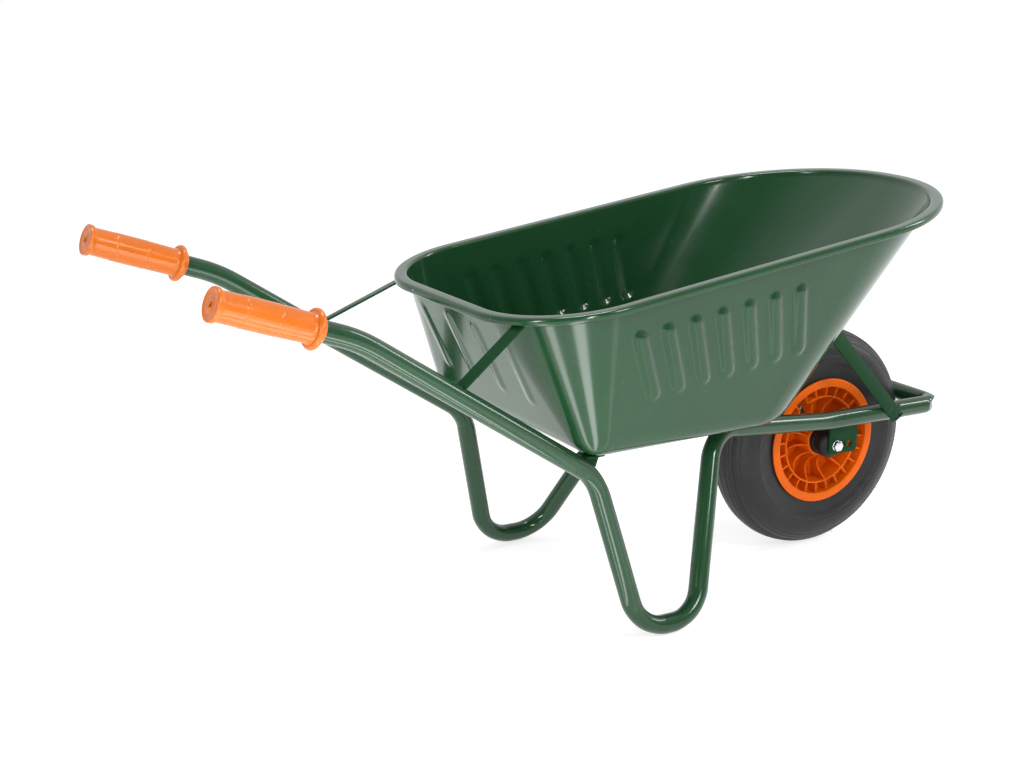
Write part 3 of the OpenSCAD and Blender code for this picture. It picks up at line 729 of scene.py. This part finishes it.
def side_pressing(sizes, x, z):
    """Height of the upright beads in a side wall: a slanting band of round-ended bars."""
    low, high = 435 + (x + 214) * 0.128, 548 + (x + 230) * 0.133
    t = (z - low) / (high - low)
    if not -0.3 < t < 1.3 or not sizes.bead_count:
        return 0
    rear, front = -549 - 41 * t, -214 - 16 * t
    pitch = (front - rear) / sizes.bead_count
    along = (x - rear) / pitch
    if not -0.5 < along < sizes.bead_count + 0.5:
        return 0
    across = (along - int(max(min(along, sizes.bead_count - 1), 0)) - 0.5) * pitch
    half_width, inside, outside = 10.5, 5.5, 4.5
    up = max(abs(t - 0.5) * (high - low) - ((high - low) / 2 - half_width), 0)
    distance = sqrt(across * across + up * up)
    return sizes.bead_height * (1 - ramp(distance, half_width - inside, half_width + outside))


def rear_pressing(sizes, y, z):
    """Height of the upright beads in the rear wall."""
    if not sizes.rear_beads or abs(y) > 205:
        return 0
    pitch = 340 / sizes.rear_beads
    across = min(abs(y - (k - (sizes.rear_beads - 1) / 2) * pitch) for k in range(sizes.rear_beads))
    up = max(abs(z - 435) - 48, 0)
    return sizes.rear_height * (1 - ramp(sqrt(across * across + up * up), 3, 13))


class BARROW_OT_tray(bpy.types.Operator):
    """Press the tray from one sheet, with its beads, rolled rim and turned-down lip"""
    bl_idname = "barrow.tray"
    bl_label = "Pressed tray"

    def execute(self, context):
        sizes = context.scene.barrow_tray
        t, flange, lip, rounding = sizes.sheet, sizes.flange, sizes.lip, sizes.floor_round
        base, inner = floor_ring(0), floor_ring(rounding)
        top = rim_ring(flange - t, 6)
        heel = [near(b, w, rounding) for b, w in zip(base, top)]
        centre = Vector(((FLOOR_REAR + FLOOR_FRONT) / 2, 0, 0))
        centre.z = floor_level(centre.x)
        rings = [[centre.lerp(p, f) for p in inner] for f in (0.04, 0.2, 0.4, 0.6, 0.8)]
        rings += [[bend_curve(a, b, c, k / 12) for a, b, c in zip(inner, base, heel)] for k in range(13)]
        walls = 50
        wall_rows = range(len(rings), len(rings) + walls - 1)
        rings += [[a.lerp(b, k / walls) for a, b in zip(heel, top)] for k in range(1, walls + 1)]
        for a, b, c, first, steps in (
            ((flange - t, 6), (flange - t, t + 0.1), (flange - t - 5.5, t + 0.1), 1, 6),
            ((6.2, t), (t, t), (t, 6), 0, 8),
            ((t, lip - 2.5), (t, lip), (t + 1.4, lip), 0, 4),
        ):
            a, b, c = Vector(a), Vector(b), Vector(c)
            for k in range(first, steps + 1):
                p = bend_curve(a, b, c, k / steps)
                rings.append(rim_ring(p.x, p.y))
        count = len(rings[0])
        for row in wall_rows:
            pressed = []
            for i, p in enumerate(rings[row]):
                height = 0
                if abs(p.y) > 190 and -625 < p.x < -175:
                    height = side_pressing(sizes, p.x, p.z)
                elif p.x < -560:
                    height = rear_pressing(sizes, p.y, p.z)
                along = rings[row][(i + 1) % count] - rings[row][i - 1]
                rise = rings[row + 1][i] - p
                out = along.cross(rise).normalized()
                if out.dot(Vector((p.x + 400, p.y, 0))) < 0:
                    out.negate()
                pressed.append(p + out * height)
            rings[row] = pressed
        points = [spot(*p) for ring in rings for p in ring] + [spot(*centre)]
        faces = [f for f in skin(rings) if not self.drained(sum((points[i] for i in f), Vector()) / 4)]
        faces += [((i + 1) % count, i, len(points) - 1) for i in range(count)]
        tray = new_piece("pressed_tray", points, faces)
        mesh = bmesh.new()
        mesh.from_mesh(tray.data)
        bmesh.ops.recalc_face_normals(mesh, faces=mesh.faces)
        mesh.faces.ensure_lookup_table()
        if mesh.faces[len(mesh.faces) - 1].normal.z > 0:
            bmesh.ops.reverse_faces(mesh, faces=mesh.faces)
        mesh.to_mesh(tray.data)
        mesh.free()
        shell = tray.modifiers.new("Sheet", "SOLIDIFY")
        shell.thickness = t / 1000
        shell.offset = -1
        shell.use_even_offset = True
        view = context.evaluated_depsgraph_get()
        solid = bpy.data.meshes.new_from_object(tray.evaluated_get(view))
        tray.modifiers.clear()
        tray.data = solid
        solid.name = tray.name
        smooth(tray, 80)
        hand_over(tray, "frame", "Green Enamel", ["tray"])
        return {"FINISHED"}

    @staticmethod
    def drained(place):
        """Tells whether the place lies in one of the two small holes along the rear lip."""
        return place.x < AXLE.x - 0.72 and any(
            (place - Vector((AXLE.x + x / 1000, y / 1000, (rim_level(x) - 5) / 1000))).length < 0.0026
            for x, y in ((RIM_REAR, 86), (RIM_REAR + 4.2, -145)))


# ---- brackets and braces ----

class BARROW_OT_brackets(bpy.types.Operator):
    """Ease the edges of the braces, axle plates and saddles"""
    bl_idname = "barrow.brackets"
    bl_label = "Braces and plates"

    def execute(self, context):
        for part, width in (("rear_brace", 0.7), ("front_brace", 0.7), ("axle_plate", 0.8),
                            ("rear_saddle", 0.5), ("front_saddle", 0.5)):
            for word in ("left", "right"):
                node = f"{part}_{word}"
                # the brackets get the darker copy of the enamel, which is painted shade
                hand_over(eased(node, width), "frame", "Bracket Enamel", [node])
        return {"FINISHED"}


class BARROW_OT_welds(bpy.types.Operator):
    """Run the weld beads where plates, braces and saddles meet the tube"""
    bl_idname = "barrow.welds"
    bl_label = "Weld beads"

    def execute(self, context):
        sizes = context.scene.barrow_tube
        points, edges = [], []
        rail_half, rail_up, tube_r = RAIL_HALF / 1000, RAIL_UP / 1000, sizes.tube_d / 2000

        def seam(line):
            edges.extend((len(points) + i, len(points) + i + 1) for i in range(len(line) - 1))
            points.extend(line)

        def straight(a, b, steps=6):
            return [a.lerp(b, k / steps) for k in range(steps + 1)]

        for word, side in SIDES:
            low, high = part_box(f"axle_plate_{word}")
            outer = max(abs(low.y), abs(high.y)) * side
            z = rail_up - sqrt(tube_r ** 2 - (rail_half - abs(outer)) ** 2)
            seam(straight(Vector((low.x + 0.002, outer, z)), Vector((high.x - 0.002, outer, z))))
            x = AXLE.x + 0.112
            y = side * (rail_half + 0.0162)
            seam(straight(Vector((x - 0.019, y, 0.2575)), Vector((x - 0.012, y, 0.2645)), 3)
                 + straight(Vector((x - 0.008, side * 0.1035, 0.2655)), Vector((x + 0.010, side * 0.1035, 0.2655)), 4))
            seam(straight(Vector((x - 0.002, y, 0.238)), Vector((x + 0.016, y, 0.248)), 4))
            for part in ("rear_saddle", "front_saddle"):
                low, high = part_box(f"{part}_{word}")
                middle = (low.y + high.y) / 2
                for face in (-0.0018, 0.0018):
                    if part == "rear_saddle":
                        line = straight(Vector((low.x + 0.002, middle + face, low.z + 0.019)),
                                        Vector((low.x + 0.021, middle + face, low.z + 0.003)), 4)
                    else:
                        line = straight(Vector((low.x + 0.004, middle + face, low.z + 0.003)),
                                        Vector((high.x - 0.006, middle + face, low.z + 0.018)), 5)
                    seam(line)
        beads = new_piece("weld_beads", points, edges=edges)
        grown(beads, weld_tree(), "Weld Enamel", Ripple_Pitch=0.0021, Bead_Radius=sizes.weld_r / 1000, Seed=11)
        hand_over(beads, "frame")
        return {"FINISHED"}


# ---- axle hardware ----

class BARROW_OT_axle(bpy.types.Operator):
    """Ease the bolt, nut and washers and plate them with zinc"""
    bl_idname = "barrow.axle"
    bl_label = "Axle bolt"

    def execute(self, context):
        for node, width in (("axle_bolt", 0.7), ("axle_nut", 0.7), ("axle_washers", 0.35)):
            hand_over(eased(node, width), "frame", "Bright Zinc", [node])
        return {"FINISHED"}


# ---- wheel ----

def mirrored(half):
    return half + [(r, -y) for r, y in reversed(half)]


class BARROW_OT_rim(bpy.types.Operator):
    """Mould the rim: channel, pocket ring, web, hub and ribs"""
    bl_idname = "barrow.rim"
    bl_label = "Moulded rim"

    def execute(self, context):
        sizes = context.scene.barrow_wheel
        across, side = (0, 1, 0), (1, 0, 0)
        channel = mirrored([(88.2, 17), (98.5, 26), (98.5, 44.6), (99.6, 46.3), (111.2, 46.3), (112, 45.6),
                            (114, 45.6), (114, 42.5), (108.2, 41.5), (103.2, 40.5), (103.2, 24), (93.2, 15)])
        parts = [
            turned("channel", softened(channel, 0.9), AXLE, across, side, 192),
            turned("inner_ring", softened([(78.5, -40), (81.5, -40), (81.5, 40), (78.5, 40)], 1.0),
                   AXLE, across, side, 192),
            turned("web", softened([(28, -3.4), (40, -2.5), (89, -2.5), (89, 2.5), (40, 2.5), (28, 3.4)], 0.6),
                   AXLE, across, side, 144),
            turned("hub", softened([(20, -38), (29.4, -38), (31, -10), (31, 10), (29.4, 38), (20, 38)], 1.2),
                   AXLE, across, side, 96),
        ]
        gap = sizes.rib_phase + VALVE_TURN
        out, turn = Vector((cos(gap), 0, sin(gap))), Vector((sin(gap), 0, -cos(gap)))
        for v in parts[1].data.vertices:
            arm = v.co - AXLE
            if arm.dot(out) > 0 and abs(arm.dot(turn)) < 0.0115 and arm.y < -0.018:
                v.co.y = AXLE.y - 0.018
        casting = joined("rim_casting", parts)
        smooth(casting, 40)
        hand_over(casting, "wheel", "Rim Plastic", ["rim"])
        tree = wheel_ring_tree()
        crest = [(28.5, 36.5)] + [
            (32 + 48 * k / 14, 36.5 - 15 * sin(pi * (k / 14) ** 0.8) + 3.3 * ramp(k / 14, 0.6, 1)) for k in range(15)
        ] + [(99.2, 40.5)]
        outline = [(99.2, 0), (28.5, 0), *crest]
        for name, profile, count, start in (
            ("rim_ribs", outline, sizes.ribs, sizes.rib_phase),
            ("pocket_ribs", [(99.2, 0), (80.5, 0), (80.5, 39.6), (99.2, 41.5)], sizes.ribs,
             sizes.rib_phase + pi / sizes.ribs),
        ):
            for word, face in SIDES:
                rib = self.rib(f"{name}_{word}", profile, face)
                grown(rib, tree, "Rim Plastic", Count=count, Start_Angle=start, Axle=AXLE,
                      Stray=0.0, Size_Spread=0.0, Seed=3)
                smooth(settled(rib), 40)
                hand_over(rib, "wheel")
        return {"FINISHED"}

    @staticmethod
    def rib(name, profile, face):
        """One rib about the origin, thinner at its crest, standing on the web."""
        rows = []
        for across, inset in ((-1.7, 0.0), (-1.25, 0.9), (1.25, 0.9), (1.7, 0.0)):
            rows.append([(r / 1000, face * max(y - inset, 0) / 1000, across / 1000) for r, y in profile])
        points = [p for row in rows for p in row]
        n = len(profile)
        faces = skin(rows) + [tuple(range(n)), tuple(reversed(range(3 * n, 4 * n)))]
        return settled(new_piece(name, points, faces))


class BARROW_OT_hub_bushes(bpy.types.Operator):
    """Turn the two black bushes between the hub and the axle plates"""
    bl_idname = "barrow.hub_bushes"
    bl_label = "Hub bushes"

    def execute(self, context):
        outline = softened([(8.05, 8), (19.8, 8), (19.8, 38), (26, 38), (26, 47), (24.6, 48), (24.6, 50), (26, 51),
                            (26, 66), (23, 71), (15, 75), (8.05, 75)], 0.9)
        for word, side in SIDES:
            bush = turned(f"bush_{word}", outline, AXLE, (0, side, 0), (1, 0, 0), 96)
            smooth(bush, 40)
            hand_over(bush, "wheel", "Black Plastic", [f"hub_bush_{word}"])
        return {"FINISHED"}


class BARROW_OT_tyre(bpy.types.Operator):
    """Mould the tyre with its tread grooves, bead lines and whiskers"""
    bl_idname = "barrow.tyre"
    bl_label = "Tyre"

    def execute(self, context):
        sizes = context.scene.barrow_wheel
        section, crown = sizes.tyre_w / 2, (sizes.tyre_d - sizes.tyre_w) / 2

        def arc(radius, first, step, tread):
            made = []
            for k in range(int(first / step) + 1):
                a = radians(first - k * step)
                r = radius
                if tread:
                    y = radius * sin(a)
                    r -= sizes.groove * max(bump(y - g, 2.3) for g in (0, 13, 26))
                    r -= 0.5 * max(bump(y - g, 1.0) for g in (6.5, 19.5))
                    r += 0.55 * bump(y - 32.5, 1.6) - 0.35 * ramp(y, 32, 34.5)
                    r += sum(0.8 * bump(k * step - g, 1.6) for g in (13, 17, 22, 58, 84, 90))
                made.append((crown + r * cos(a), r * sin(a)))
            return made

        outside = [(103.5, 25), (103.5, 40.2), (108.5, 40.2), (111.6, 41.4)] + arc(section, 112, 0.8, True)
        inside = [(112.2, 25), (116.2, 31.2)] + arc(section - 7, 105, 5, False)
        loop = mirrored(outside) + list(reversed(mirrored(inside)))
        tyre = turned("tyre_moulding", loop, AXLE, (0, 1, 0), (1, 0, 0), 180)
        smooth(tyre, 60)
        hand_over(tyre, "wheel", "Tyre Rubber", ["tyre"])
        tree = wheel_ring_tree()
        for word, lean, count, seed, reach in (
            ("left", 38, sizes.whiskers, 5, 7), ("right", -38, sizes.whiskers, 8, 7),
            ("crown", -15, 9, 21, 1.8), ("middle", 14, 8, 33, 1.8),
        ):
            a = radians(lean)
            out = Vector((cos(a), sin(a)))
            root = Vector((crown, 0)) + out * (section - 0.4)
            rows = []
            for k, r in enumerate((0.5, 0.42, 0.36, 0.3, 0.2)):
                p = root + out * (reach * k / 4)
                lean_over = 0.9 * (k / 4) ** 2
                rows.append([((p.x + r * cos(t * pi / 2.5)) / 1000, (p.y + lean_over) / 1000,
                              (r * sin(t * pi / 2.5) + 1.6 * (k / 4) ** 2) / 1000) for t in range(5)])
            points = [p for row in rows for p in row]
            faces = skin(rows) + [(4, 3, 2, 1, 0), (20, 21, 22, 23, 24)]
            hair = settled(new_piece(f"tyre_whiskers_{word}", points, faces))
            grown(hair, tree, "Tyre Rubber", Count=count, Start_Angle=0.1 * seed, Axle=AXLE,
                  Stray=0.16, Size_Spread=0.004, Seed=seed)
            smooth(settled(hair), 60)
            hand_over(hair, "wheel")
        return {"FINISHED"}


class BARROW_OT_valve(bpy.types.Operator):
    """Turn the valve stem, its brass nipple and the ribbed cap"""
    bl_idname = "barrow.valve"
    bl_label = "Valve"

    def execute(self, context):
        sizes = context.scene.barrow_wheel
        angle = sizes.rib_phase + VALVE_TURN
        out = Vector((cos(angle), 0, sin(angle)))
        root = AXLE + Vector((0, -0.026, 0))
        stem = turned("valve_tube", softened([(1.4, 72.5), (3.6, 72.5), (3.7, 78), (4.1, 79), (4.1, 106), (5.6, 108),
                      (6, 116), (4, 118), (1.4, 118)], 0.4), root, out, (0, 1, 0), 40)
        smooth(stem, 40)
        hand_over(stem, "wheel", "Valve Rubber", ["valve_stem"])
        nipple = turned("valve_nipple", softened([(1.0, 74), (3.95, 74), (3.95, 77.4), (1.0, 77.4)], 0.3),
                        root, out, (0, 1, 0), 40)
        smooth(nipple, 40)
        hand_over(nipple, "wheel", "Valve Brass")

        def knurl(radius, along, angle):
            return -0.35 * (0.5 + 0.5 * cos(angle * 16)) if radius > 4.3 and 64 < along < 74 else 0

        cap = turned("valve_cap_moulding", softened([(0.3, 62.2), (3.9, 62.2), (4.8, 63.4), (4.8, 74.4), (4.3, 75.2),
                     (3.8, 75.2), (3.8, 66), (0.3, 66)], 0.5), root, out, (0, 1, 0), 96, knurl)
        smooth(cap, 50)
        hand_over(cap, "wheel", "Black Plastic", ["valve_cap"])
        return {"FINISHED"}


class BARROW_OT_inner_pieces(bpy.types.Operator):
    """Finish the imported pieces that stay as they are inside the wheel"""
    bl_idname = "barrow.inner_pieces"
    bl_label = "Sleeve and inner tube"

    def execute(self, context):
        for node, finish in (("axle_sleeve", "Bright Zinc"), ("inner_tube", "Valve Rubber")):
            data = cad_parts[node].data
            if not data.materials:
                data.materials.append(None)
            for i in range(len(data.materials)):
                data.materials[i] = bpy.data.materials[finish]
        return {"FINISHED"}


BUILD = (
    BARROW_OT_stage, BARROW_OT_frame_tube, BARROW_OT_grips, BARROW_OT_tray, BARROW_OT_brackets,
    BARROW_OT_welds, BARROW_OT_axle, BARROW_OT_rim, BARROW_OT_hub_bushes, BARROW_OT_tyre,
    BARROW_OT_valve, BARROW_OT_inner_pieces,
)
GROUPS = (
    ("barrow_finishes", FinishColours), ("barrow_tube", TubeSizes), ("barrow_tray", TraySizes),
    ("barrow_wheel", WheelSizes), ("barrow_stage", StageSizes),
)


class BARROW_PT_panel(bpy.types.Panel):
    """Sizes, colours and build steps of the barrow"""
    bl_idname = "BARROW_PT_panel"
    bl_label = "Garden Wheelbarrow"
    bl_space_type = "VIEW_3D"
    bl_region_type = "UI"
    bl_category = "Barrow"

    def draw(self, context):
        for name, group in GROUPS:
            box = self.layout.box()
            for key in group.__annotations__:
                box.prop(getattr(context.scene, name), key)
        for step in BUILD:
            self.layout.operator(step.bl_idname)


def register():
    for _, group in GROUPS:
        bpy.utils.register_class(group)
    for name, group in GROUPS:
        setattr(bpy.types.Scene, name, PointerProperty(type=group))
    for item in (*BUILD, BARROW_PT_panel):
        bpy.utils.register_class(item)


def unregister():
    for item in (BARROW_PT_panel, *reversed(BUILD)):
        bpy.utils.unregister_class(item)
    for name, group in reversed(GROUPS):
        delattr(bpy.types.Scene, name)
        bpy.utils.unregister_class(group)


def main():
    register()
    mix_finishes()
    for step in BUILD:
        area, name = step.bl_idname.split(".")
        if getattr(getattr(bpy.ops, area), name)() != {"FINISHED"}:
            raise RuntimeError(f"{step.bl_label} was not finished")


if __name__ == "__main__":
    main()
